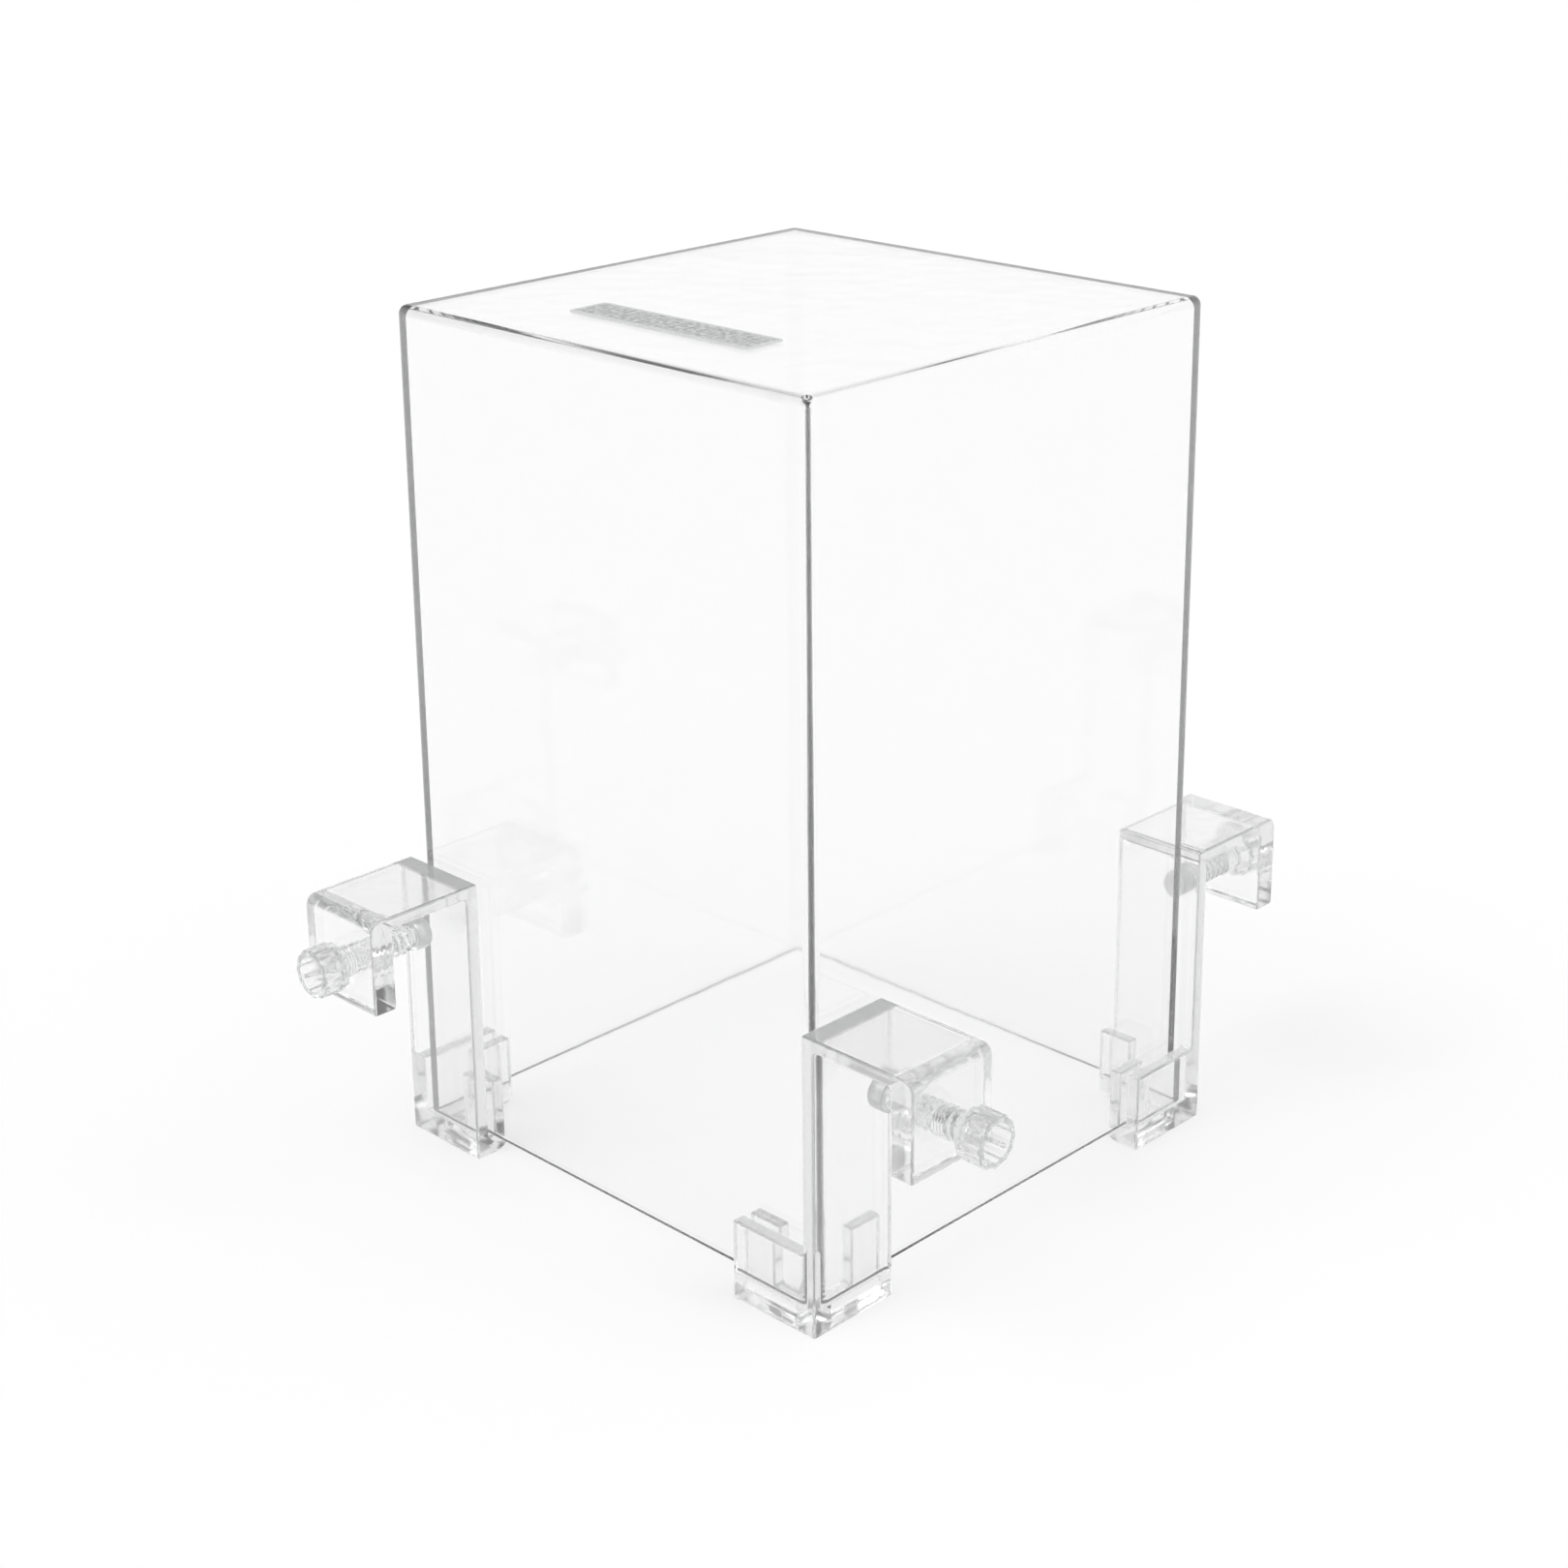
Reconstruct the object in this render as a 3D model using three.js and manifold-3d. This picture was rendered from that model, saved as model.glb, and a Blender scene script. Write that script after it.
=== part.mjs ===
// A small clear tank that is used upside down, open below, as a tower above the water of a larger
// aquarium. Clear moulded clips sit around its rim at three corners. Each clip has a hook that
// goes over the larger aquarium's glass, and a thumb screw in the hook that clamps the glass.
// Millimetres, +Z up. The part stands on the clips' feet at Z = 0.

import * as THREE from "three";
import { mergeVertices } from "three/addons/utils/BufferGeometryUtils.js";
import Module from "manifold-3d";

// Tank: one moulded shell
const tankSide = 100;
const tankHeight = 155.6;
const tankWall = 2;
const tankCeiling = 2.4;
const tankCorner = 2.6;
const tankEdge = 2;
const tankInnerCorner = 1.4;
const tankInnerEdge = 1;
const rimRound = 0.5;
const tankArcSteps = 6;

// Frosted strip on the tank's top
const stripLength = 43.5;
const stripWidth = 8.7;
const stripThickness = 0.2;
const stripCorner = 0.8;
const stripFromSide = 16.6;
const stripOffCentre = -1.3;
const stripBond = 0.05;

// Clip: a channel around the rim, with an outer wall, a foot and inner tabs
const rimClearance = 0.3;
const clipWall = 2.7;
const clipLeg = 16.2;
const clipWallHeight = 15;
const footThickness = 3.9;
const footRound = 3;
const tabThickness = 2.5;
const tabLength = 7.2;
const tabHeight = 14.7;
const clipRound = 0.6;

// Hook: the clip's outer wall runs up to a top plate and a lip that hangs from it
const hookTop = 55.2;
const hookThickness = 2.4;
const hookReach = 24.6;
const lipThickness = 4.8;
const lipHeight = 18;
const hookRound = 2;
const hookFillet = 0.8;

// Thumb screw, with its thread, and the hole tapped through the lip
const screwHeight = 44.7;
const shaftRadius = 2.1;
const crestRadius = 2.7;
const threadPitch = 1.5;
const threadRootHalf = 0.45;
const threadCrestHalf = 0.2;
const threadSink = 0.15;
const threadRunIn = 1.4;
const threadStepsPerTurn = 12;
const threadClearance = 0.2;
const neckRadius = 1.2;
const collarRadius = 1.7;
const collarLength = 0.9;

// Knob: a fluted cup with one web across it
const knobRadius = 4.6;
const knobLength = 5.4;
const knobCupRadius = 3.3;
const knobCupDepth = 4;
const knobRound = 0.5;
const fluteDepth = 0.35;
const fluteCount = 12;
const webThickness = 0.8;
const webRecess = 0.5;
const webTurn = THREE.MathUtils.degToRad(-35);

// Clamp pad: a cap that snaps on the screw's tip and doesn't turn
const padRadius = 2.9;
const padLength = 3.2;
const padFace = 0.8;
const padRound = 0.6;
const padPlay = 0.3;

// How far the front pad stands off its plate and the front knob off its lip, and how many turns
// further in each screw is
const openGap = 5.4;
const knobStand = 3.8;
const screwTurns = { front: 0, left: 1.828, right: 1 };

// How far a cut runs past what it cuts, and how near two corners are one
const overrun = 1;
const weldDistance = 0.0001;
const roundSteps = 24;
const arcSteps = 5;

// Worked out from the sizes above
const clipOuter = rimClearance + clipWall;
const clipInner = tankWall + rimClearance + tabThickness;
const rimHeight = footThickness + rimClearance;
const lipInner = hookReach - lipThickness;
const screwAcross = (clipLeg - clipOuter) / 2;
const neckStart = padFace + padPlay + collarLength;
const shaftStart = padLength + padPlay;
const knobStart = hookReach + knobStand - clipOuter - openGap;
const threadStart = shaftStart + threadRunIn;
const threadLength = knobStart - threadClearance - threadStart - threadRootHalf;
const knobReach = hookReach + knobStand + knobLength;
// The origin is below the middle of the part's box. One knob reaches out along +X and none along
// -X, and of the knobs along Y, the one that is screwed in further reaches out less.
const boxShiftX = (knobReach - clipOuter) / 2;
const boxShiftY = ((screwTurns.left - screwTurns.right) * threadPitch) / 2;

const wasm = await Module();
wasm.setup();

const clear = { roughness: 0.05, metalness: 0, transparent: true };
const tankPlastic = new THREE.MeshStandardMaterial({ color: "#eef1f1", opacity: 0.3, ...clear });
const clipPlastic = new THREE.MeshStandardMaterial({ color: "#e4e7e7", opacity: 0.4, ...clear });
const screwPlastic = new THREE.MeshStandardMaterial({ color: "#d9dcdc", opacity: 0.5, ...clear });
const frostedFilm = new THREE.MeshStandardMaterial({ color: "#dedfdf", roughness: 0.7, metalness: 0 });

// A closed geometry as a solid that can be joined and cut.
function toSolid(geometry) {
  const bare = geometry.clone();
  bare.deleteAttribute("normal");
  bare.deleteAttribute("uv");
  const merged = mergeVertices(bare, weldDistance);
  const vertProperties = merged.attributes.position.array;
  const triVerts = new Uint32Array(merged.index.array);
  return new wasm.Manifold(new wasm.Mesh({ numProp: 3, vertProperties, triVerts }));
}

// A solid as a named mesh with flat faces.
function toMesh(name, solid, material) {
  const { vertProperties, triVerts } = solid.getMesh();
  const geometry = new THREE.BufferGeometry();
  geometry.setAttribute("position", new THREE.BufferAttribute(vertProperties, 3));
  geometry.setIndex(new THREE.BufferAttribute(triVerts, 1));
  const flat = geometry.toNonIndexed();
  flat.computeVertexNormals();
  const mesh = new THREE.Mesh(flat, material);
  mesh.name = name;
  return mesh;
}

// A solid through a row of convex rings with the same number of points, closed at both ends.
function loft(rings) {
  const count = rings[0].length;
  const last = (rings.length - 1) * count;
  const index = [];
  for (let ring = 0; ring < rings.length - 1; ring++) {
    for (let i = 0; i < count; i++) {
      const a = ring * count + i;
      const b = ring * count + ((i + 1) % count);
      index.push(a, b, b + count, a, b + count, a + count);
    }
  }
  for (let i = 1; i < count - 1; i++) {
    index.push(0, i + 1, i, last, last + i, last + i + 1);
  }
  const geometry = new THREE.BufferGeometry().setFromPoints(rings.flat());
  geometry.setIndex(index);
  return toSolid(geometry);
}

// A closed outline through square corners, each written as x, y and the radius that rounds it.
function outline(corners) {
  const shape = new THREE.Shape();
  corners.forEach(([x, y, radius], i) => {
    const corner = new THREE.Vector2(x, y);
    const towards = ([otherX, otherY]) =>
      new THREE.Vector2(otherX, otherY).sub(corner).setLength(radius).add(corner);
    const start = towards(corners.at(i - 1));
    const end = towards(corners[(i + 1) % corners.length]);
    if (i === 0) shape.moveTo(start.x, start.y);
    else shape.lineTo(start.x, start.y);
    if (radius === 0) return;
    const centre = start.clone().add(end).sub(corner);
    const from = start.clone().sub(centre);
    const to = end.clone().sub(centre);
    shape.absarc(centre.x, centre.y, radius, from.angle(), to.angle(), from.cross(to) < 0);
  });
  return shape;
}

// An upright outline, drawn in the direction across and in Z, as a solid square to both.
function prism(shape, across, from, to) {
  const along = across.clone().cross(new THREE.Vector3(0, 0, 1));
  const settings = { depth: to - from, bevelEnabled: false, curveSegments: arcSteps };
  const geometry = new THREE.ExtrudeGeometry(shape, settings);
  const frame = new THREE.Matrix4().makeBasis(across, new THREE.Vector3(0, 0, 1), along);
  geometry.applyMatrix4(frame.setPosition(along.multiplyScalar(from)));
  return toSolid(geometry);
}

// A profile of [x, radius] points turned around the X axis.
function turned(profile, steps = roundSteps) {
  const points = profile.map(([x, radius]) => new THREE.Vector2(radius, x));
  const geometry = new THREE.LatheGeometry(points, steps);
  geometry.rotateZ(-Math.PI / 2);
  return toSolid(geometry);
}

// One level ring of the tank: a square with round corners.
function tankRing(inset, corner, z) {
  const reach = tankSide / 2 - inset - corner;
  const points = [];
  for (let side = 0; side < 4; side++) {
    for (let step = 0; step <= tankArcSteps; step++) {
      const turn = (side + step / tankArcSteps) * (Math.PI / 2);
      const middle = (side + 1 / 2) * (Math.PI / 2);
      const x = Math.sign(Math.cos(middle)) * reach + corner * Math.cos(turn);
      const y = Math.sign(Math.sin(middle)) * reach + corner * Math.sin(turn);
      points.push(new THREE.Vector3(x, y, z));
    }
  }
  return points;
}

// Rings of the tank around a rounded edge, from one angle to another of its arc.
function roundedRings(depth, corner, edge, z, from, to, steps) {
  const rings = [];
  for (let step = 0; step <= steps; step++) {
    const angle = from + ((to - from) * step) / steps;
    const inward = edge * (1 - Math.cos(angle));
    rings.push(tankRing(depth + inward, corner - inward, z + edge * Math.sin(angle)));
  }
  return rings;
}

// The tank: from the ceiling down the inside, round the rim and up the outside to the top.
function tank() {
  const top = rimHeight + tankHeight;
  const ceiling = top - tankCeiling;
  const quarter = Math.PI / 2;
  const rimInnerCorner = tankInnerCorner + rimRound;
  return loft([
    ...roundedRings(tankWall, tankInnerCorner, tankInnerEdge, ceiling - tankInnerEdge, quarter, 0, 3),
    tankRing(tankWall, tankInnerCorner, rimHeight + rimRound),
    tankRing(tankWall - rimRound, rimInnerCorner, rimHeight),
    tankRing(rimRound, tankCorner - rimRound, rimHeight),
    tankRing(0, tankCorner, rimHeight + rimRound),
    ...roundedRings(0, tankCorner, tankEdge, top - tankEdge, 0, quarter, tankArcSteps),
  ]);
}

// The frosted strip, flat on the tank's top.
function strip() {
  const corners = [
    [-stripLength / 2, -stripWidth / 2, stripCorner],
    [stripLength / 2, -stripWidth / 2, stripCorner],
    [stripLength / 2, stripWidth / 2, stripCorner],
    [-stripLength / 2, stripWidth / 2, stripCorner],
  ];
  const settings = { depth: stripThickness, bevelEnabled: false, curveSegments: arcSteps };
  return toSolid(new THREE.ExtrudeGeometry(outline(corners), settings));
}

// The ridge of the thread around the X axis, grown by the clearance where it cuts the lip. Its
// flanks run on a little under the shaft's surface.
function threadRidge(grow) {
  const root = shaftRadius + grow - threadSink;
  const crest = crestRadius + grow;
  const flare = (threadRootHalf - threadCrestHalf) / (crestRadius - shaftRadius);
  const rootHalf = threadRootHalf + grow + flare * threadSink;
  const crestHalf = threadCrestHalf + grow;
  const steps = Math.floor((threadLength / threadPitch) * threadStepsPerTurn);
  const rings = [];
  for (let step = 0; step <= steps; step++) {
    const turns = step / threadStepsPerTurn;
    const x = threadStart + threadPitch * turns;
    const angle = 2 * Math.PI * turns;
    const point = (offset, radius) =>
      new THREE.Vector3(x + offset, radius * Math.cos(angle), radius * Math.sin(angle));
    rings.push([
      point(rootHalf, root),
      point(crestHalf, crest),
      point(-crestHalf, crest),
      point(-rootHalf, root),
    ]);
  }
  return loft(rings);
}

// What the tapped hole takes out of the lip: the threaded shaft with its clearance all round.
function tap() {
  const hole = shaftRadius + threadClearance;
  const start = lipInner - clipOuter - openGap - overrun;
  const end = hookReach - clipOuter - openGap + overrun;
  const bore = turned(
    [
      [start, 0],
      [start, hole],
      [end, hole],
      [end, 0],
    ],
    threadStepsPerTurn,
  );
  return bore.add(threadRidge(threadClearance)).translate(clipOuter + openGap, screwAcross, screwHeight);
}

// A clip with its hook, from the tank's outer corner line. Its hook reaches out along +X, and
// its legs run along +Y and -X.
function clip() {
  const outward = new THREE.Vector3(1, 0, 0);
  const sideways = new THREE.Vector3(0, -1, 0);
  const under = hookTop - hookThickness;
  const lipEnd = hookTop - lipHeight;
  const hooked = outline([
    [clipOuter, 0, clipRound],
    [clipOuter, under, hookFillet],
    [lipInner, under, hookFillet],
    [lipInner, lipEnd, clipRound],
    [hookReach, lipEnd, clipRound],
    [hookReach, hookTop, hookRound],
    [rimClearance, hookTop, clipRound],
    [rimClearance, footThickness, 0],
    [-clipInner, footThickness, 0],
    [-clipInner, 0, footRound],
  ]);
  const channel = outline([
    [clipOuter, 0, clipRound],
    [clipOuter, clipWallHeight, clipRound],
    [rimClearance, clipWallHeight, clipRound],
    [rimClearance, footThickness, 0],
    [-clipInner, footThickness, 0],
    [-clipInner, 0, footRound],
  ]);
  const tab = outline([
    [tabThickness - clipInner, footRound, 0],
    [tabThickness - clipInner, tabHeight, clipRound],
    [-clipInner, tabHeight, clipRound],
    [-clipInner, footRound, 0],
  ]);
  const tabStart = clipLeg - tabLength;
  return prism(hooked, outward, -clipLeg, clipOuter)
    .add(prism(channel, sideways, -clipOuter, clipLeg))
    .add(prism(tab, outward, -clipLeg, -tabStart))
    .add(prism(tab, sideways, tabStart, clipLeg))
    .subtract(tap());
}

// The knob's outline: shallow flutes all round.
function flutedOutline() {
  const points = [];
  const steps = fluteCount * 4;
  for (let step = 0; step < steps; step++) {
    const angle = (2 * Math.PI * step) / steps;
    const dip = (1 - Math.cos(fluteCount * angle)) / 2;
    const radius = knobRadius - fluteDepth * dip;
    points.push(new THREE.Vector2(radius * Math.cos(angle), radius * Math.sin(angle)));
  }
  return new THREE.Shape(points);
}

// The knob, its inner end at X = 0 and its cup open towards +X.
function knob() {
  const depth = knobLength - 2 * knobRound;
  const bevel = { bevelThickness: knobRound, bevelSize: knobRound, bevelOffset: -knobRound };
  const body = new THREE.ExtrudeGeometry(flutedOutline(), { depth, ...bevel, bevelSegments: 2 });
  body.translate(0, 0, knobRound);
  body.rotateY(Math.PI / 2);
  const cupStart = knobLength - knobCupDepth;
  const cup = turned([
    [cupStart, 0],
    [cupStart, knobCupRadius],
    [knobLength + overrun, knobCupRadius],
    [knobLength + overrun, 0],
  ]);
  const webDepth = knobCupDepth - webRecess + knobRound;
  const web = new THREE.BoxGeometry(webDepth, 2 * knobCupRadius + knobRound, webThickness);
  web.translate(cupStart - knobRound + webDepth / 2, 0, 0);
  web.rotateX(webTurn);
  return toSolid(body).subtract(cup).add(toSolid(web));
}

// The thumb screw along +X, placed as its pad's face is at X = 0.
function thumbScrew() {
  const collarStart = padFace + padPlay;
  const shaft = turned(
    [
      [collarStart, 0],
      [collarStart, collarRadius],
      [neckStart, collarRadius],
      [neckStart, neckRadius],
      [shaftStart, neckRadius],
      [shaftStart, shaftRadius],
      [knobStart + knobRound, shaftRadius],
      [knobStart + knobRound, 0],
    ],
    threadStepsPerTurn,
  );
  return shaft
    .add(threadRidge(0))
    .add(knob().translate(knobStart, 0, 0));
}

// The clamp pad: a thick face with a chamber for the screw's collar and a narrower mouth.
function clampPad() {
  const chamberEnd = neckStart + padPlay;
  const chamber = collarRadius + padPlay;
  const mouth = neckRadius + padPlay;
  return turned([
    [0, 0],
    [0, padRadius - padRound],
    [padRound, padRadius],
    [padLength, padRadius],
    [padLength, mouth],
    [chamberEnd, mouth],
    [chamberEnd, chamber],
    [padFace, chamber],
    [padFace, 0],
  ]);
}

// The assembly. Each corner's group is the same set of pieces, turned to its corner.
const part = new THREE.Group();
const centred = new THREE.Group();
centred.position.set(-boxShiftX, -boxShiftY, 0);
part.add(centred);

centred.add(toMesh("tank_shell", tank(), tankPlastic));

const frostedStrip = toMesh("frosted_strip", strip(), frostedFilm);
frostedStrip.position.set(
  stripOffCentre,
  stripFromSide + stripWidth / 2 - tankSide / 2,
  rimHeight + tankHeight + stripBond,
);
centred.add(frostedStrip);

const corners = { front: 0, right: Math.PI / 2, left: -Math.PI / 2 };
for (const [name, turn] of Object.entries(corners)) {
  const corner = new THREE.Group();
  corner.rotation.z = turn;
  centred.add(corner);
  const local = new THREE.Group();
  local.position.set(tankSide / 2, -tankSide / 2, 0);
  corner.add(local);
  local.add(toMesh(`${name}_clip`, clip(), clipPlastic));

  const screwAxis = new THREE.Group();
  const advance = screwTurns[name] * threadPitch;
  screwAxis.position.set(clipOuter + openGap - advance, screwAcross, screwHeight);
  local.add(screwAxis);
  screwAxis.add(toMesh(`${name}_clamp_pad`, clampPad(), screwPlastic));
  const screw = toMesh(`${name}_thumb_screw`, thumbScrew(), screwPlastic);
  screw.rotation.x = -2 * Math.PI * screwTurns[name];
  screwAxis.add(screw);
}

export default part;
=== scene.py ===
"""A clear tower aquarium in its looks: a moulded acrylic tank, three clear clips with thumb screws
and clamp pads, a frosted strip on top, and the pale studio that it stands in."""

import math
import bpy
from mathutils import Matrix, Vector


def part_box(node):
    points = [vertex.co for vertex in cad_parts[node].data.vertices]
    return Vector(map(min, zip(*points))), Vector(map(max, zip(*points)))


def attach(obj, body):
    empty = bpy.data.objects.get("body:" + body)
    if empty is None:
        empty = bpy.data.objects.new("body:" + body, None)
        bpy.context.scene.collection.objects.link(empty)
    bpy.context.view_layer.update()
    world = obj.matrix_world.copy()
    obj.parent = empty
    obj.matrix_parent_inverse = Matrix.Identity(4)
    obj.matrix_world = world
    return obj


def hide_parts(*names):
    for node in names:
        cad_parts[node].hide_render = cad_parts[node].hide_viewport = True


bl_info = {
    "name": "Tower Aquarium",
    "version": (1, 0, 0),
    "blender": (4, 5, 0),
    "location": "3D View > Sidebar > Tower",
    "description": "Builds a clear tower aquarium with its clips and screws, and a studio",
    "category": "Add Mesh",
}

import bmesh
import bpy
from bpy.props import (
    FloatProperty,
    FloatVectorProperty,
    IntProperty,
    PointerProperty,
    StringProperty,
)
from mathutils import Matrix, Vector

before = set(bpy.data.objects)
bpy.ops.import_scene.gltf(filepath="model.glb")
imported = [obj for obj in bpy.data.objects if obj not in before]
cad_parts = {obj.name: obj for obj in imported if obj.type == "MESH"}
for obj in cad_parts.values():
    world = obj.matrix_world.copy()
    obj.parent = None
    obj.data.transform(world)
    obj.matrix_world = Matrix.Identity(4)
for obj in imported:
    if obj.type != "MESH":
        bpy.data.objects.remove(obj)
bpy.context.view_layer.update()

MM = 0.001
QUARTER = math.pi / 2
CORNER_TURNS = {"front": 0.0, "right": QUARTER, "left": -QUARTER}

# Edges that turn by more than this stay sharp; the strip's soft edge has a wider limit.
SHARP_ANGLE = math.radians(40)
STRIP_SHARP_ANGLE = math.radians(50)
# Faces that lie within this angle of each other are one flat face.
FLAT_ANGLE = math.radians(1)
# Points nearer to each other than this are one point. The tank's arcs are drawn finer.
WELD = 0.001 * MM
TANK_WELD = 0.0001 * MM
# What the camera sees lies between these distances.
NEAREST, FARTHEST = 0.01, 100


# Places, read from the frame

def tank_box():
    """The tank's lowest and highest corners."""
    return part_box("tank_shell")


def corner_place(corner):
    """The frame of one lower corner of the tank: X out through the hook, Y along the wall, Z up."""
    low, high = tank_box()
    middle = (low + high) / 2
    half = (high.x - low.x) / 2
    to_axis = Matrix.Translation((middle.x, middle.y, 0))
    turn = Matrix.Rotation(CORNER_TURNS[corner], 4, "Z")
    return to_axis @ turn @ Matrix.Translation((half, -half, 0))


def corner_box(node, corner):
    """A node's lowest and highest corners in the frame of its tank corner."""
    back = corner_place(corner).inverted()
    ends = [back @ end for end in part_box(node)]
    low = Vector([min(end[axis] for end in ends) for axis in range(3)])
    high = Vector([max(end[axis] for end in ends) for axis in range(3)])
    return low, high


def screw_axis(corner):
    """The point on a screw's axis where its pad presses, in the frame of its tank corner."""
    low, high = corner_box(f"{corner}_clamp_pad", corner)
    return Vector((low.x, (low.y + high.y) / 2, (low.z + high.z) / 2))


TANK_LOW, TANK_HIGH = tank_box()
CLIP_LOW, CLIP_HIGH = corner_box("front_clip", "front")
PAD_LOW, PAD_HIGH = corner_box("front_clamp_pad", "front")
SCREW_HIGH = corner_box("front_thumb_screw", "front")[1]


# Sizes and colours

def length(name, description, metres):
    """A size that a user would change."""
    return FloatProperty(
        name=name, description=description, default=metres, unit="LENGTH", precision=5
    )


def share(name, description, value, most=1.0):
    """A plain number that a user would change."""
    return FloatProperty(name=name, description=description, default=value, min=0.0, max=most)


def angle(name, description, degrees):
    """A turn that a user would change."""
    return FloatProperty(
        name=name, description=description, default=math.radians(degrees), subtype="ANGLE"
    )


def count(name, description, value):
    """How many steps or copies there are."""
    return IntProperty(name=name, description=description, default=value, min=1)


def colour(name, description, value):
    """A colour as an sRGB hex value."""
    return StringProperty(name=name, description=description, default=value)


class TankSizes(bpy.types.PropertyGroup):
    """The tank shell and the frosted strip on it."""

    wall: length("Wall", "Thickness of the side walls", 2 * MM)
    ceiling: length("Ceiling", "Thickness of the closed top", 1.5 * MM)
    corner: length("Corner", "Outer radius of the upright corners", 2 * MM)
    edge: length("Edge", "Outer radius of the top's edges", 1.6 * MM)
    inner_edge: length("Inner edge", "Inner radius where walls and closed top meet", 0.7 * MM)
    rim_round: length("Rim rounding", "Radius that breaks the open rim's edges", 0.5 * MM)
    arc_steps: count("Arc steps", "Steps in a quarter turn of a rounded edge", 16)
    strip_corner: length("Strip corner", "Radius of the strip's corners", 0.8 * MM)
    strip_steps: count("Strip steps", "Steps in a quarter turn of the strip's corners", 6)
    strip_bevel: length("Strip bevel", "Soft edge of the strip", 0.06 * MM)
    strip_bevel_steps: count("Strip bevel steps", "Steps across the strip's soft edge", 2)


class ClipSizes(bpy.types.PropertyGroup):
    """One corner clip with its hook."""

    gap: length("Gap", "Room between the clip and the tank", 0.3 * MM)
    wall_height: length("Wall height", "Height of the channel's outer walls", 15 * MM)
    foot: length("Foot", "Thickness of the foot below the rim", TANK_LOW.z - 0.3 * MM)
    foot_round: length("Foot rounding", "Radius under the inner edge", 3 * MM)
    tab: length("Tab", "Thickness of the inner tabs", 2.5 * MM)
    tab_length: length("Tab length", "Length of the inner tabs along the wall", 7.2 * MM)
    tab_height: length("Tab height", "Height of the inner tabs", 14.7 * MM)
    plate: length("Hook plate", "Thickness of the plate over the glass", 2.4 * MM)
    lip: length("Lip", "Thickness of the hook's lip", 4.8 * MM)
    lip_height: length("Lip height", "Height of the hook's lip", 18 * MM)
    hook_round: length("Hook rounding", "Outer radius of the hook", 2 * MM)
    hook_fillet: length("Hook fillet", "Inner radius of the hook", 0.8 * MM)
    edge: length("Edge rounding", "Radius that breaks the clip's other edges", 0.5 * MM)
    edge_steps: count("Edge steps", "Steps across each broken edge", 3)
    arc_steps: count("Arc steps", "Steps in a quarter turn of a larger radius", 6)
    tap_run_out: length("Tap run out", "How far the tap cuts past the lip", 1 * MM)
    tap_turns: count("Tap turns", "Turns of full thread that the tap has past the lip", 10)
    tap_steps: count("Tap steps", "Steps round the tap", 48)


class ScrewSizes(bpy.types.PropertyGroup):
    """One thumb screw, its thread and its clamp pad."""

    shaft: length("Shaft", "Radius of the shaft at the thread's root", 2.1 * MM)
    crest: length("Crest", "Radius of the thread's crest", 2.7 * MM)
    pitch: length("Pitch", "Travel in one turn", 1.5 * MM)
    root_half: length("Root half width", "Half the thread's width at its root", 0.45 * MM)
    crest_half: length("Crest half width", "Half the thread's width at its crest", 0.2 * MM)
    run_in: length("Run in", "Plain shaft ahead of the first turn", 1.4 * MM)
    clearance: length("Clearance", "Room around the thread in the lip", 0.2 * MM)
    neck: length("Neck", "Radius of the neck in the pad's mouth", 1.2 * MM)
    collar: length("Collar", "Radius of the collar that the pad snaps on", 1.7 * MM)
    collar_length: length("Collar length", "Length of that collar", 0.9 * MM)
    knob: length("Knob", "Outer radius of the knob", 4.6 * MM)
    knob_length: length("Knob length", "Length of the knob", 5.4 * MM)
    cup: length("Cup", "Radius of the knob's open cup", 3.3 * MM)
    cup_depth: length("Cup depth", "Depth of the knob's open cup", 4 * MM)
    knob_round: length("Knob rounding", "Radius of the knob's edges", 0.5 * MM)
    flute: length("Flute", "Depth of the knob's flutes", 0.35 * MM)
    flutes: count("Flutes", "Number of flutes round the knob", 12)
    web: length("Web", "Thickness of the web across the cup", 0.8 * MM)
    web_recess: length("Web recess", "How far the web stays below the cup's mouth", 0.5 * MM)
    web_edge_steps: count("Web edge steps", "Steps across the web's rounded edges", 3)
    web_turn: angle("Web turn", "Turn of the web about the screw's axis", -35)
    pad_face: length("Pad face", "Thickness of the pad's face", 0.8 * MM)
    pad_round: length("Pad rounding", "Radius of the pad's face", 0.6 * MM)
    play: length("Play", "Room between the pad and the screw", 0.3 * MM)
    steps: count("Steps", "Steps round the screw", 96)
    pad_steps: count("Pad steps", "Steps round the pad", 64)
    rows_per_turn: count("Rows per turn", "Rows along one pitch of the thread", 15)
    tip_arc_steps: count("Tip arc steps", "Steps in a quarter turn of the shaft's edges", 3)
    knob_arc_steps: count("Knob arc steps", "Steps in a quarter turn of the knob's edges", 4)
    pad_arc_steps: count("Pad arc steps", "Steps in a quarter turn of the pad's edges", 5)


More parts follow.
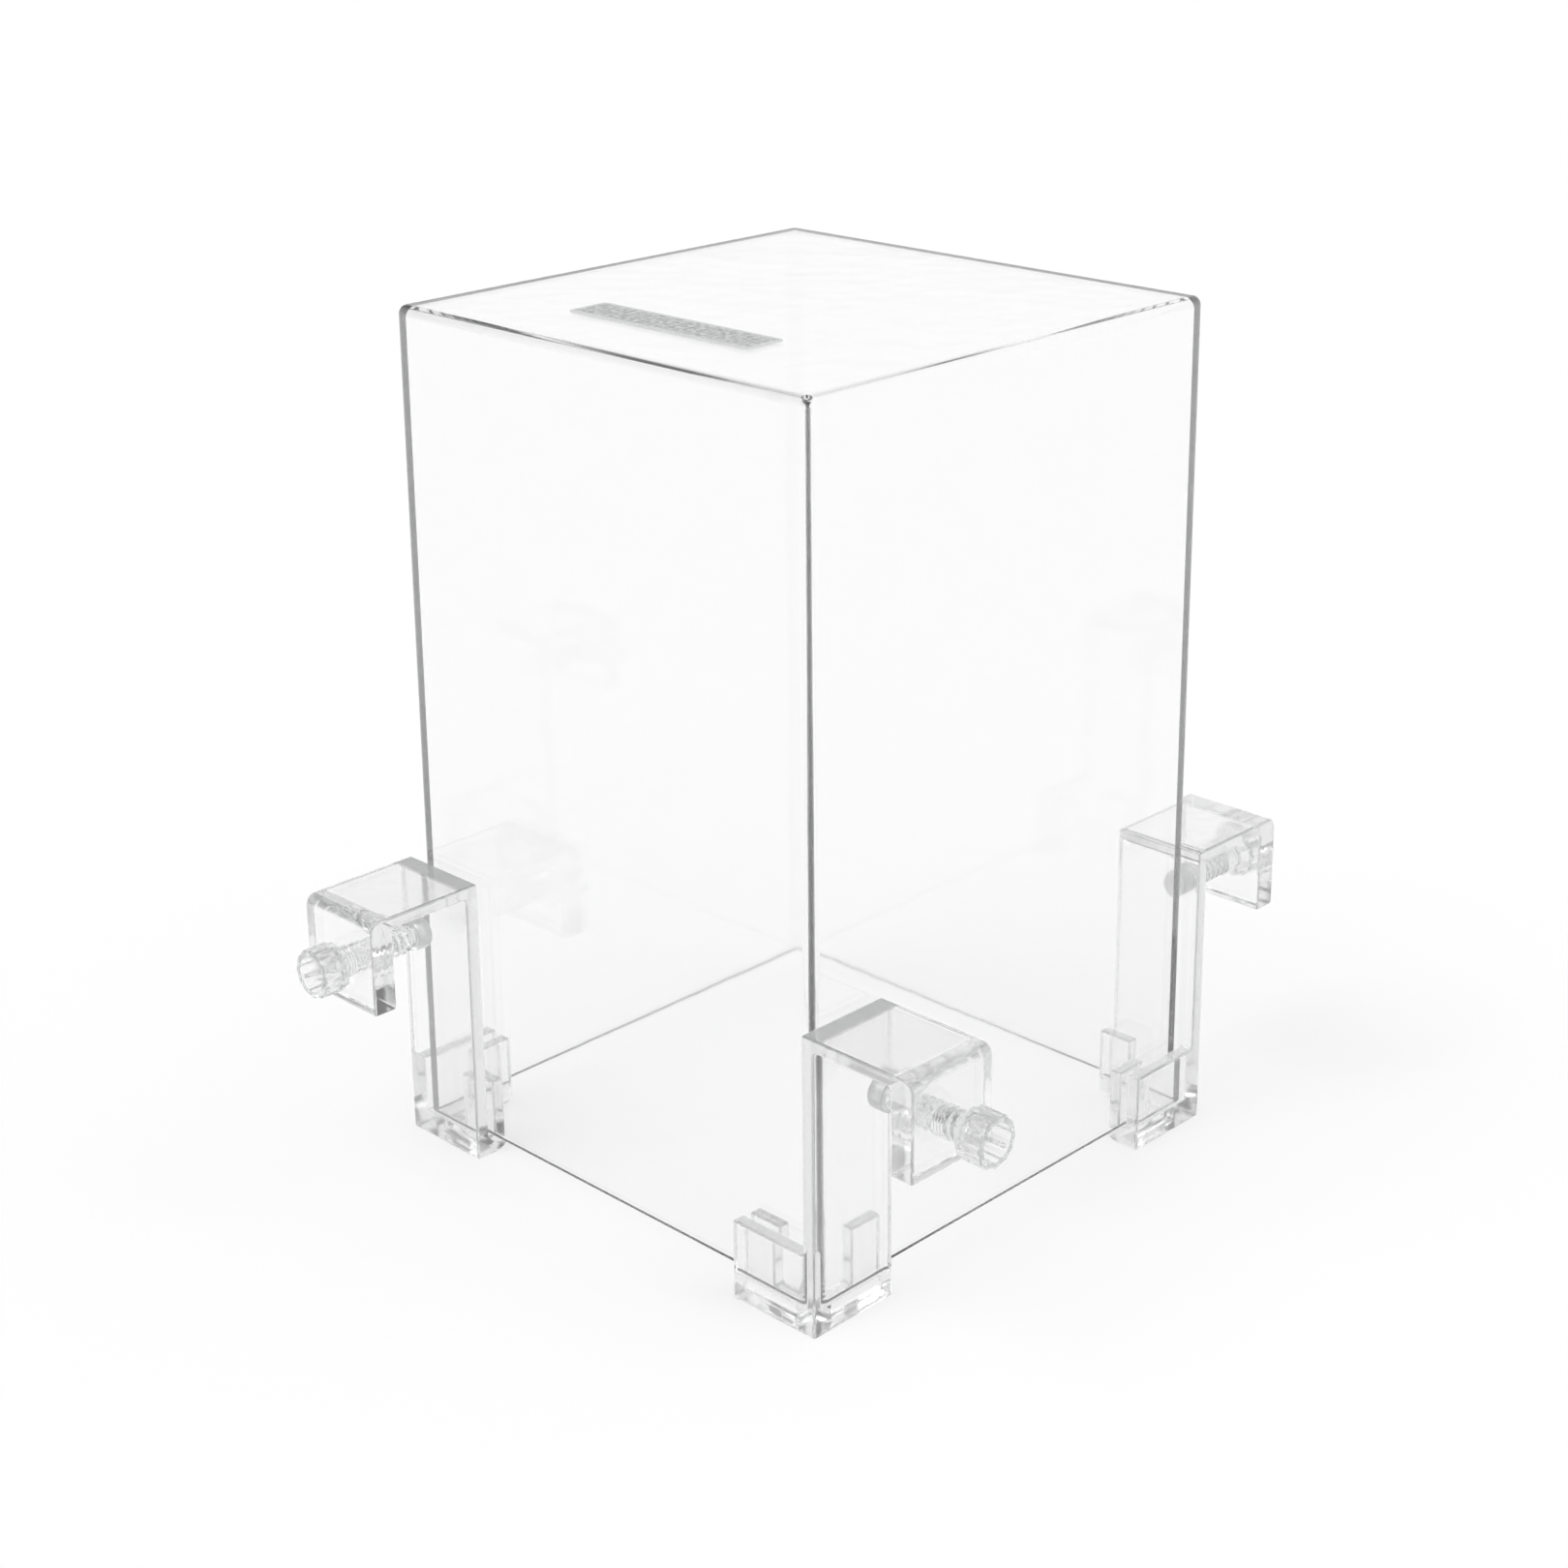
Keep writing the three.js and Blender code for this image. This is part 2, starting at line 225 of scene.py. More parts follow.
class FinishSettings(bpy.types.PropertyGroup):
    """Colours and optical values of the plastics."""

    tank_tint: colour("Tank tint", "What the tank's acrylic leaves of white", "#bcbcbd")
    tank_density: share("Tank density", "How soon the tank's acrylic greys light", 16, 200)
    tank_ior: share("Tank IOR", "Index of refraction of acrylic", 1.49, 3)
    tank_wave: length("Tank wave", "Size of the waves in the tank's skin", 20 * MM)
    tank_wave_height: length("Tank wave height", "Height of those waves", 0.05 * MM)
    tank_roughness: share("Tank roughness", "Roughness of the tank's skin", 0.045)
    clip_tint: colour("Clip tint", "What the clips' styrene leaves of white", "#b7b9b9")
    clip_density: share("Clip density", "How soon the clips' styrene greys light", 14, 200)
    clip_ior: share("Clip IOR", "Index of refraction of clear styrene", 1.59, 3)
    clip_wave: length("Clip wave", "Size of the waves in the clips' skin", 5 * MM)
    clip_wave_height: length("Clip wave height", "Height of those waves", 0.05 * MM)
    clip_roughness: share("Clip roughness", "Roughness of the clips' skin", 0.1)
    screw_tint: colour("Screw tint", "What the screws' styrene leaves of white", "#a9adad")
    screw_density: share("Screw density", "How soon the screws' styrene greys light", 40, 200)
    screw_ior: share("Screw IOR", "Index of refraction of cloudy styrene", 1.59, 3)
    screw_wave: length("Screw wave", "Size of the waves in the screws' skin", 3 * MM)
    screw_wave_height: length("Screw wave height", "Height of those waves", 0.03 * MM)
    screw_roughness: share("Screw roughness", "Roughness of the screws' skin", 0.14)
    pad_tint: colour("Pad tint", "What the pads' polythene leaves of white", "#a9adad")
    pad_density: share("Pad density", "How soon the pads' polythene greys light", 90, 200)
    pad_ior: share("Pad IOR", "Index of refraction of polythene", 1.51, 3)
    pad_wave: length("Pad wave", "Size of the waves in the pads' skin", 2 * MM)
    pad_wave_height: length("Pad wave height", "Height of those waves", 0.02 * MM)
    pad_roughness: share("Pad roughness", "Roughness of the pads' skin", 0.35)
    wave_detail: share("Wave detail", "How many finer waves ride on the waves", 2, 15)
    wave_unevenness: share("Wave unevenness", "Strength of the finer waves", 0.5)
    lamp_pass: share("Lamp pass", "Share of a lamp's light that each surface lets through", 0.985)
    strip_dark: colour("Strip dark", "Frosted strip where it is etched most", "#9c9e9e")
    strip_light: colour("Strip light", "Frosted strip where it is etched least", "#d8d9d9")
    strip_border: colour("Strip border", "Frosted strip along its border", "#e0e1e1")
    strip_border_width: length("Strip border width", "Width of that border", 1.2 * MM)
    mottle: length("Mottle", "Size of the spots in the etch", 1 * MM)
    mottle_detail: share("Mottle detail", "How many finer spots lie on the spots", 3, 15)
    mottle_unevenness: share("Mottle unevenness", "Strength of the finer spots", 0.6)
    etch_dark: share("Etch dark", "Share of the mottle below which the etch is darkest", 0.35)
    etch_light: share("Etch light", "Share of the mottle above which the etch is lightest", 0.65)
    film_roughness: share("Film roughness", "Roughness of the etched film", 0.55)
    film_ior: share("Film IOR", "Index of refraction of the film", 1.5, 3)
    floor_tint: colour("Floor tint", "Colour of the studio floor", "#ffffff")
    floor_thrown: colour("Floor thrown", "Colour of the light that it throws back", "#e7e7e7")


class StudioSettings(bpy.types.PropertyGroup):
    """The camera, the floor and the light."""

    camera_place: FloatVectorProperty(
        name="Camera place",
        description="Where the camera stands",
        default=(318.3 * MM, -343.8 * MM, 261.2 * MM),
        subtype="TRANSLATION",
    )
    azimuth: angle("Azimuth", "Turn of the camera round the object", 44.59)
    elevation: angle("Elevation", "How far the camera looks down", 17.68)
    roll: angle("Roll", "Tilt of the picture", -0.56)
    lens: FloatProperty(
        name="Lens",
        description="Focal length for a picture 36 mm wide",
        default=64.21,
        subtype="DISTANCE_CAMERA",
    )
    shift: share("Shift", "How far the picture is shifted down, as a share of its width", 0.13)
    floor_side: length("Floor side", "Side of the floor", 14.0)
    floor_drop: length("Floor drop", "How far the floor lies below the feet", 0.05 * MM)
    bounces: count("Bounces", "How often light may turn inside the clear plastics", 128)
    key_light: share("Key light", "Strength of the main lamp", 1.54, 10)
    key_azimuth: angle("Key azimuth", "Turn of the main lamp round the object", -20)
    key_elevation: angle("Key elevation", "Height of the main lamp", 55)
    key_spread: angle("Key spread", "Width of the main lamp, for soft shadows", 40)
    fill_light: share("Fill light", "Strength of the second lamp", 0.83, 10)
    fill_azimuth: angle("Fill azimuth", "Turn of the second lamp round the object", 100)
    fill_elevation: angle("Fill elevation", "Height of the second lamp", 60)
    fill_spread: angle("Fill spread", "Width of the second lamp, for soft shadows", 60)
    sky: share("Sky", "Brightness of the studio overhead", 0.15)
    sky_start: share("Sky start", "Where the studio darkens, from 0 level to 1 overhead", 0.3)
    sky_end: share("Sky end", "Where the studio is at its darkest", 0.6)
    sky_lean: FloatVectorProperty(
        name="Sky lean",
        description="Direction of the studio's darkest part",
        default=(-0.3, -0.3, 1.0),
        subtype="DIRECTION",
    )


# Small tools for meshes and nodes

def linear(hex_colour):
    """An sRGB hex value as linear red, green, blue and a full alpha."""
    channels = [int(hex_colour[i:i + 2], 16) / 255 for i in (1, 3, 5)]
    return (*[c / 12.92 if c <= 0.04045 else ((c + 0.055) / 1.055) ** 2.4 for c in channels], 1.0)


def add_node(tree, kind, inputs=None, **settings):
    """Adds a node with its settings, and gives each named socket a value or a link."""
    node = tree.nodes.new(kind)
    for name, value in settings.items():
        setattr(node, name, value)
    for name, value in (inputs or {}).items():
        if isinstance(value, bpy.types.NodeSocket):
            tree.links.new(value, node.inputs[name])
        else:
            node.inputs[name].default_value = value
    return node


def new_object(name, mesh):
    """An object with this mesh, in the scene."""
    thing = bpy.data.objects.new(name, mesh)
    bpy.context.scene.collection.objects.link(thing)
    return thing


def mesh_from(bm, name):
    """A plain mesh from what was built."""
    mesh = bpy.data.meshes.new(name)
    bm.to_mesh(mesh)
    bm.free()
    return mesh


def bake_modifiers(thing):
    """Turns what the modifiers make into the object's own plain mesh."""
    depsgraph = bpy.context.evaluated_depsgraph_get()
    depsgraph.update()
    mesh = bpy.data.meshes.new_from_object(
        thing.evaluated_get(depsgraph), preserve_all_data_layers=True, depsgraph=depsgraph
    )
    old = thing.data
    thing.modifiers.clear()
    thing.data = mesh
    mesh.name = thing.name
    bpy.data.meshes.remove(old)


def combine(thing, other, operation):
    """Joins another closed object to this one, or cuts it out, and removes the other."""
    cut = thing.modifiers.new("Boolean", "BOOLEAN")
    cut.operation = operation
    cut.object = other
    cut.solver = "EXACT"
    bake_modifiers(thing)
    bpy.data.objects.remove(other)


def finish_surface(thing, material, sharp_angle):
    """Flat faces stay flat and rounded edges are smooth; edges past the angle stay sharp."""
    mesh = thing.data
    mesh.materials.clear()
    mesh.materials.append(material)
    mesh.polygons.foreach_set("use_smooth", [True] * len(mesh.polygons))
    mesh.set_sharp_from_angle(angle=sharp_angle)
    weighted = thing.modifiers.new("Weighted normals", "WEIGHTED_NORMAL")
    weighted.mode = "FACE_AREA_WITH_ANGLE"
    weighted.keep_sharp = True
    bake_modifiers(thing)


def quarter_arc(steps):
    """A quarter turn as shares of its radius: one that rises from 0 to 1, one that falls back."""
    turns = [QUARTER * step / steps for step in range(steps + 1)]
    return [(1 - math.cos(turn), 1 - math.sin(turn)) for turn in turns]


def rounded(corners, steps):
    """A path through corners written as x, y and radius, each corner rounded by an arc."""
    path = []
    for i, (x, y, radius) in enumerate(corners):
        corner = Vector((x, y))
        if radius == 0:
            path.append(corner)
            continue
        before = (Vector(corners[i - 1][:2]) - corner).normalized() * radius
        after = (Vector(corners[(i + 1) % len(corners)][:2]) - corner).normalized() * radius
        for rising, falling in quarter_arc(steps):
            path.append(corner + before * falling + after * rising)
    return path


def prism(name, path, across, start, end):
    """An upright outline, drawn in the direction across and in Z, as a solid square to both."""
    along = across.cross(Vector((0, 0, 1)))
    bm = bmesh.new()
    rings = []
    for depth in (start, end):
        rings.append([
            bm.verts.new(across * p.x + Vector((0, 0, p.y)) + along * depth) for p in path
        ])
    for i in range(len(path)):
        j = (i + 1) % len(path)
        bm.faces.new((rings[0][i], rings[0][j], rings[1][j], rings[1][i]))
    bm.faces.new(rings[0][::-1])
    bm.faces.new(rings[1])
    bmesh.ops.recalc_face_normals(bm, faces=bm.faces)
    return new_object(name, mesh_from(bm, name))


def ride_in_place(piece, body, node):
    """The finished piece stands for a node and rides on its body; the node is hidden."""
    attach(piece, body)
    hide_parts(node)


# Materials

def clear_plastic(name, part):
    """A clear moulded plastic, with the finish settings of this part: a smooth skin with the faint
    waves of the mould, and a body that greys light on a long way through, so that edges show dark
    and flat walls stay clear."""
    finish = bpy.context.scene.tower_finish
    material = bpy.data.materials.new(name)
    material.use_nodes = True
    tree = material.node_tree
    tree.nodes.clear()
    place = add_node(tree, "ShaderNodeTexCoord")
    wave = add_node(tree, "ShaderNodeTexNoise", {
        "Vector": place.outputs["Object"],
        "Scale": 1 / getattr(finish, f"{part}_wave"),
        "Detail": finish.wave_detail,
        "Roughness": finish.wave_unevenness,
    })
    skin = add_node(tree, "ShaderNodeBump", {
        "Height": wave.outputs["Fac"],
        "Strength": 1.0,
        "Distance": getattr(finish, f"{part}_wave_height"),
    })
    plastic = add_node(tree, "ShaderNodeBsdfPrincipled", {
        "Base Color": (1, 1, 1, 1),
        "Roughness": getattr(finish, f"{part}_roughness"),
        "IOR": getattr(finish, f"{part}_ior"),
        "Transmission Weight": 1.0,
        "Normal": skin.outputs["Normal"],
    })
    path = add_node(tree, "ShaderNodeLightPath")
    lamp_passes = add_node(tree, "ShaderNodeMath", {
        0: path.outputs["Is Shadow Ray"],
        1: path.outputs["Is Diffuse Ray"],
    }, operation="MAXIMUM")
    passed = (finish.lamp_pass, finish.lamp_pass, finish.lamp_pass, 1)
    through = add_node(tree, "ShaderNodeBsdfTransparent", {"Color": passed})
    surface = add_node(tree, "ShaderNodeMixShader", {
        0: lamp_passes.outputs["Value"],
        1: plastic.outputs["BSDF"],
        2: through.outputs["BSDF"],
    })
    body = add_node(tree, "ShaderNodeVolumeAbsorption", {
        "Color": linear(getattr(finish, f"{part}_tint")),
        "Density": getattr(finish, f"{part}_density"),
    })
    add_node(tree, "ShaderNodeOutputMaterial", {
        "Surface": surface.outputs["Shader"],
        "Volume": body.outputs["Volume"],
    })
    return material


def acrylic_tank():
    """Acrylic, injection moulded and polished: almost colourless and glassy, with dark edges."""
    return clear_plastic("acrylic_moulded_clear", "tank")


def styrene_clip():
    """Clear styrene, injection moulded: glossy like acrylic, wavy where the walls are thick."""
    return clear_plastic("styrene_moulded_clear", "clip")


def styrene_screw():
    """Clear styrene, moulded and a little cloudy: the thick screws look greyer than the clips."""
    return clear_plastic("styrene_moulded_cloudy", "screw")


def polythene_pad():
    """Soft polythene, moulded: milky, so that a pad shows as an even pale grey."""
    return clear_plastic("polythene_moulded_milky", "pad")


def frosted_film(low, high):
    """Etched film: scatters light evenly, with a fine mottle where the etch is uneven, and paler
    along its border, where the etch runs out."""
    finish = bpy.context.scene.tower_finish
    material = bpy.data.materials.new("film_etched_frosted")
    material.use_nodes = True
    tree = material.node_tree
    tree.nodes.clear()
    place = add_node(tree, "ShaderNodeTexCoord")
    etch = add_node(tree, "ShaderNodeTexNoise", {
        "Vector": place.outputs["Object"],
        "Scale": 1 / finish.mottle,
        "Detail": finish.mottle_detail,
        "Roughness": finish.mottle_unevenness,
    })
    tone = add_node(tree, "ShaderNodeValToRGB", {"Fac": etch.outputs["Fac"]})
    dark, light = tone.color_ramp.elements
    dark.position, light.position = finish.etch_dark, finish.etch_light
    dark.color, light.color = linear(finish.strip_dark), linear(finish.strip_light)
    middle, half = (low + high) / 2, (high - low) / 2
    off_middle = add_node(tree, "ShaderNodeVectorMath", {
        0: place.outputs["Object"],
        1: middle,
    }, operation="SUBTRACT")
    off_sides = add_node(tree, "ShaderNodeVectorMath", {
        0: off_middle.outputs["Vector"],
    }, operation="ABSOLUTE")
    sides = add_node(tree, "ShaderNodeSeparateXYZ", {"Vector": off_sides.outputs["Vector"]})
    nearness = [add_node(tree, "ShaderNodeMapRange", {
        "Value": sides.outputs[axis],
        "From Min": reach - finish.strip_border_width,
        "From Max": reach,
    }).outputs["Result"] for axis, reach in (("X", half.x), ("Y", half.y))]
    border = add_node(tree, "ShaderNodeMath", {
        0: nearness[0],
        1: nearness[1],
    }, operation="MAXIMUM")
    etched = add_node(tree, "ShaderNodeMixRGB", {
        "Fac": border.outputs["Value"],
        "Color1": tone.outputs["Color"],
        "Color2": linear(finish.strip_border),
    })
    film = add_node(tree, "ShaderNodeBsdfPrincipled", {
        "Base Color": etched.outputs["Color"],
        "Roughness": finish.film_roughness,
        "IOR": finish.film_ior,
    })
    add_node(tree, "ShaderNodeOutputMaterial", {"Surface": film.outputs["BSDF"]})
    return material


def painted_floor():
    """Matt painted board: white to the eye and through the plastics, and a little darker for the
    light that it throws back on them."""
    finish = bpy.context.scene.tower_finish
    material = bpy.data.materials.new("board_painted_matt")
    material.use_nodes = True
    tree = material.node_tree
    tree.nodes.clear()
    path = add_node(tree, "ShaderNodeLightPath")
    seen = add_node(tree, "ShaderNodeBsdfDiffuse", {"Color": linear(finish.floor_tint)})
    thrown = add_node(tree, "ShaderNodeBsdfDiffuse", {"Color": linear(finish.floor_thrown)})
    paint = add_node(tree, "ShaderNodeMixShader", {
        0: path.outputs["Is Diffuse Ray"],
        1: seen.outputs["BSDF"],
        2: thrown.outputs["BSDF"],
    })
    add_node(tree, "ShaderNodeOutputMaterial", {"Surface": paint.outputs["Shader"]})
    return material


# Geometry nodes for what is turned about an axis

def turned_tree():
    """A node tree that turns a profile about the X axis and winds a thread and flutes on it.

    The object's own mesh is the profile: one point a row, with X along the axis and Y as radius.
    Its attributes thread and flute say how much of each a row takes."""
    name = "turned_and_threaded"
    if name in bpy.data.node_groups:
        return bpy.data.node_groups[name]
    tree = bpy.data.node_groups.new(name, "GeometryNodeTree")
    sockets = [
        ("Profile", "NodeSocketGeometry"),
        ("Steps", "NodeSocketInt"),
        ("Pitch", "NodeSocketFloat"),
        ("Thread Start", "NodeSocketFloat"),
        ("Thread Depth", "NodeSocketFloat"),
        ("Root Half", "NodeSocketFloat"),
        ("Crest Half", "NodeSocketFloat"),
        ("Flutes", "NodeSocketInt"),
        ("Flute Depth", "NodeSocketFloat"),
        ("Material", "NodeSocketMaterial"),
    ]
    for label, kind in sockets:
        tree.interface.new_socket(label, in_out="INPUT", socket_type=kind)
    tree.interface.new_socket("Mesh", in_out="OUTPUT", socket_type="NodeSocketGeometry")
    given = add_node(tree, "NodeGroupInput").outputs

    def math_node(operation, *values, clamp=False):
        inputs = {i: value for i, value in enumerate(values)}
        node = add_node(tree, "ShaderNodeMath", inputs, operation=operation, use_clamp=clamp)
        return node.outputs[0]

    def whole_number(operation, first, second):
        node = add_node(tree, "FunctionNodeIntegerMath", {0: first, 1: second}, operation=operation)
        return node.outputs[0]

    def sampled(value, kind):
        sample = add_node(tree, "GeometryNodeSampleIndex", data_type=kind, domain="POINT")
        tree.links.new(given["Profile"], sample.inputs["Geometry"])
        tree.links.new(value, sample.inputs["Value"])
        tree.links.new(row, sample.inputs["Index"])
        return sample.outputs["Value"]

    rows = add_node(tree, "GeometryNodeAttributeDomainSize", {
        "Geometry": given["Profile"],
    }, component="MESH")
    columns = whole_number("ADD", given["Steps"], 1)
    sheet = add_node(tree, "GeometryNodeMeshGrid", {
        "Vertices X": rows.outputs["Point Count"],
        "Vertices Y": columns,
    })
    index = add_node(tree, "GeometryNodeInputIndex").outputs["Index"]
    row = whole_number("DIVIDE_FLOOR", index, columns)
    column = whole_number("MODULO", index, columns)
    turn = math_node("DIVIDE", column, given["Steps"])
    around = math_node("MULTIPLY", turn, 2 * math.pi)

    position = add_node(tree, "GeometryNodeInputPosition").outputs["Position"]
    point = add_node(tree, "ShaderNodeSeparateXYZ", {
        "Vector": sampled(position, "FLOAT_VECTOR"),
    }).outputs
    thread_share, flute_share = [
        add_node(tree, "GeometryNodeInputNamedAttribute", {"Name": name}, data_type="FLOAT")
        for name in ("thread", "flute")
    ]

    past_start = math_node("SUBTRACT", point["X"], given["Thread Start"])
    travelled = math_node("DIVIDE", past_start, given["Pitch"])
    phase = math_node("FRACT", math_node("ADD", math_node("SUBTRACT", travelled, turn), 0.5))
    off_middle = math_node("ABSOLUTE", math_node("SUBTRACT", phase, 0.5))
    off_ridge = math_node("MULTIPLY", off_middle, given["Pitch"])
    flank = math_node("SUBTRACT", given["Root Half"], given["Crest Half"])
    inside_root = math_node("SUBTRACT", given["Root Half"], off_ridge)
    ridge = math_node("DIVIDE", inside_root, flank, clamp=True)
    thread = math_node("MULTIPLY", math_node("MULTIPLY", ridge, given["Thread Depth"]),
                       sampled(thread_share.outputs["Attribute"], "FLOAT"))
    wave = math_node("COSINE", math_node("MULTIPLY", around, given["Flutes"]))
    dip = math_node("MULTIPLY", math_node("SUBTRACT", 1.0, wave), 0.5)
    flute = math_node("MULTIPLY", math_node("MULTIPLY", dip, given["Flute Depth"]),
                      sampled(flute_share.outputs["Attribute"], "FLOAT"))
    radius = math_node("SUBTRACT", math_node("ADD", point["Y"], thread), flute)
    spot = add_node(tree, "ShaderNodeCombineXYZ", {
        "X": point["X"],
        "Y": math_node("MULTIPLY", radius, math_node("COSINE", around)),
        "Z": math_node("MULTIPLY", radius, math_node("SINE", around)),
    })
    bent = add_node(tree, "GeometryNodeSetPosition", {
        "Geometry": sheet.outputs["Mesh"],
        "Position": spot.outputs["Vector"],
    })
    outward = add_node(tree, "GeometryNodeFlipFaces", {"Mesh": bent.outputs["Geometry"]})
    closed = add_node(tree, "GeometryNodeMergeByDistance", {
        "Geometry": outward.outputs["Mesh"],
        "Distance": WELD,
    })
    real = add_node(tree, "GeometryNodeRealizeInstances", {"Geometry": closed.outputs["Geometry"]})
    coated = add_node(tree, "GeometryNodeSetMaterial", {
        "Geometry": real.outputs["Geometry"],
        "Material": given["Material"],
    })
    add_node(tree, "NodeGroupOutput", {"Mesh": coated.outputs["Geometry"]})
    return tree


def turned_piece(name, profile, sizes, material, thread_start, grow=0.0, steps=None):
    """A piece turned from a profile of x, radius, thread share and flute share."""
    mesh = bpy.data.meshes.new(name)
    mesh.from_pydata([(x, radius, 0) for x, radius, _, _ in profile], [], [])
    for attribute, column in (("thread", 2), ("flute", 3)):
        layer = mesh.attributes.new(attribute, "FLOAT", "POINT")
        layer.data.foreach_set("value", [point[column] for point in profile])
    piece = new_object(name, mesh)
    tree = turned_tree()
    modifier = piece.modifiers.new("Turned", "NODES")
    modifier.node_group = tree
    values = {
        "Steps": steps or sizes.steps,
        "Pitch": sizes.pitch,
        "Thread Start": thread_start,
        "Thread Depth": sizes.crest - sizes.shaft,
        "Root Half": sizes.root_half + grow,
        "Crest Half": sizes.crest_half + grow,
        "Flutes": sizes.flutes,
        "Flute Depth": sizes.flute,
        "Material": material,
    }
    for item in tree.interface.items_tree:
        if item.name in values:
            modifier[item.identifier] = values[item.name]
    bake_modifiers(piece)
    return piece


def plain_rows(path):
    """Profile rows without a thread or flutes."""
    return [(p.x, p.y, 0.0, 0.0) for p in path]


def thread_rows(start, end, radius, sizes, first, last):
    """Rows of a threaded stretch, close enough to draw its ridge. The ridge grows in and out over
    half a turn at its first and last places."""
    rows = round((end - start) / sizes.pitch * sizes.rows_per_turn)
    fade = sizes.pitch / 2
    listed = []
    for i in range(rows + 1):
        x = start + (end - start) * i / rows
        grown = min(1.0, max(0.0, (x - first) / fade)) * min(1.0, max(0.0, (last - x) / fade))
        listed.append((x, radius, grown, 0.0))
    return listed


# The tank

def tank_ring(half, inset, corner, z, steps):
    """One level ring of the tank: a square with round corners."""
    reach = half - inset - corner
    ring = []
    for side in range(4):
        middle = (side + 0.5) * QUARTER
        x0 = math.copysign(reach, math.cos(middle))
        y0 = math.copysign(reach, math.sin(middle))
        for step in range(steps + 1):
            turn = (side + step / steps) * QUARTER
            ring.append(Vector((x0 + corner * math.cos(turn), y0 + corner * math.sin(turn), z)))
    return ring


def tank_mesh(sizes):
    """The tank: from the ceiling down the inside, round the rim and up the outside to the top. Its
    upright inside corners are sharp, so that light is caught there and they show as dark lines."""
    half = (TANK_HIGH.x - TANK_LOW.x) / 2
    bottom, top = TANK_LOW.z, TANK_HIGH.z
    ceiling = top - sizes.ceiling
    steps = sizes.arc_steps
    arc = quarter_arc(steps)
    rings = []
    for rising, falling in arc:
        inset = sizes.wall + sizes.inner_edge * falling
        rings.append(tank_ring(half, inset, 0, ceiling - sizes.inner_edge * rising, steps))
    for rising, falling in arc:
        inset = sizes.wall - sizes.rim_round * rising
        rings.append(tank_ring(half, inset, 0, bottom + sizes.rim_round * falling, steps))
    for rising, falling in arc:
        inset = sizes.rim_round * falling
        z = bottom + sizes.rim_round * rising
        rings.append(tank_ring(half, inset, sizes.corner - inset, z, steps))
    for rising, falling in arc:
        inset = sizes.edge * rising
        z = top - sizes.edge * falling
        rings.append(tank_ring(half, inset, sizes.corner - inset, z, steps))
    bm = bmesh.new()
    rows = [[bm.verts.new(point) for point in ring] for ring in rings]
    around = len(rows[0])
    for lower, upper in zip(rows, rows[1:]):
        for i in range(around):
            j = (i + 1) % around
            bm.faces.new((lower[i], lower[j], upper[j], upper[i]))
    bm.faces.new(rows[0][::-1])
    bm.faces.new(rows[-1])
    bmesh.ops.remove_doubles(bm, verts=bm.verts, dist=TANK_WELD)
    middle = (TANK_LOW + TANK_HIGH) / 2
    bmesh.ops.translate(bm, verts=bm.verts, vec=(middle.x, middle.y, 0))
    return mesh_from(bm, "tank_shell_clear")


class TOWER_OT_tank_shell(bpy.types.Operator):
    """Makes the moulded tank, open below"""

    bl_idname = "tower.tank_shell"
    bl_label = "Tank Shell"

    def execute(self, context):
        tank = new_object("tank_shell_clear", tank_mesh(context.scene.tower_tank))
        finish_surface(tank, acrylic_tank(), SHARP_ANGLE)
        ride_in_place(tank, "root", "tank_shell")
        return {"FINISHED"}


class TOWER_OT_frosted_strip(bpy.types.Operator):
    """Makes the frosted strip on the tank's top"""

    bl_idname = "tower.frosted_strip"
    bl_label = "Frosted Strip"

    def execute(self, context):
        sizes = context.scene.tower_tank
        low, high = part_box("frosted_strip")
        corner = sizes.strip_corner
        path = rounded([(low.x, low.y, corner), (high.x, low.y, corner),
                        (high.x, high.y, corner), (low.x, high.y, corner)], sizes.strip_steps)
        bm = bmesh.new()
        rings = [[bm.verts.new((p.x, p.y, z)) for p in path] for z in (low.z, high.z)]
        for i in range(len(path)):
            j = (i + 1) % len(path)
            bm.faces.new((rings[0][i], rings[0][j], rings[1][j], rings[1][i]))
        bm.faces.new(rings[0][::-1])
        top = bm.faces.new(rings[1])
        bmesh.ops.bevel(bm, geom=list(top.edges), offset=sizes.strip_bevel,
                        segments=sizes.strip_bevel_steps, affect="EDGES")
        strip = new_object("frosted_strip_film", mesh_from(bm, "frosted_strip_film"))
        finish_surface(strip, frosted_film(low, high), STRIP_SHARP_ANGLE)
        ride_in_place(strip, "root", "frosted_strip")
        return {"FINISHED"}


# The clips

def tap_cutter(clip, sizes):
    """What the tapped hole takes out of the lip: the threaded shaft and its clearance."""
    axis = screw_axis("front")
    start = CLIP_HIGH.x - clip.lip - axis.x - clip.tap_run_out
    end = CLIP_HIGH.x - axis.x + clip.tap_run_out
    thread_start = PAD_HIGH.x - PAD_LOW.x + sizes.play + sizes.run_in
    radius = sizes.shaft + sizes.clearance
    beyond = sizes.pitch * clip.tap_turns
    rows = thread_rows(start, end, radius, sizes, start - beyond, end + beyond)
    profile = [(start, 0.0, 0.0, 0.0), *rows, (end, 0.0, 0.0, 0.0)]
    cutter = turned_piece(
        "tap", profile, sizes, None, thread_start, sizes.clearance, steps=clip.tap_steps
    )
    cutter.data.transform(Matrix.Translation(axis))
    return cutter


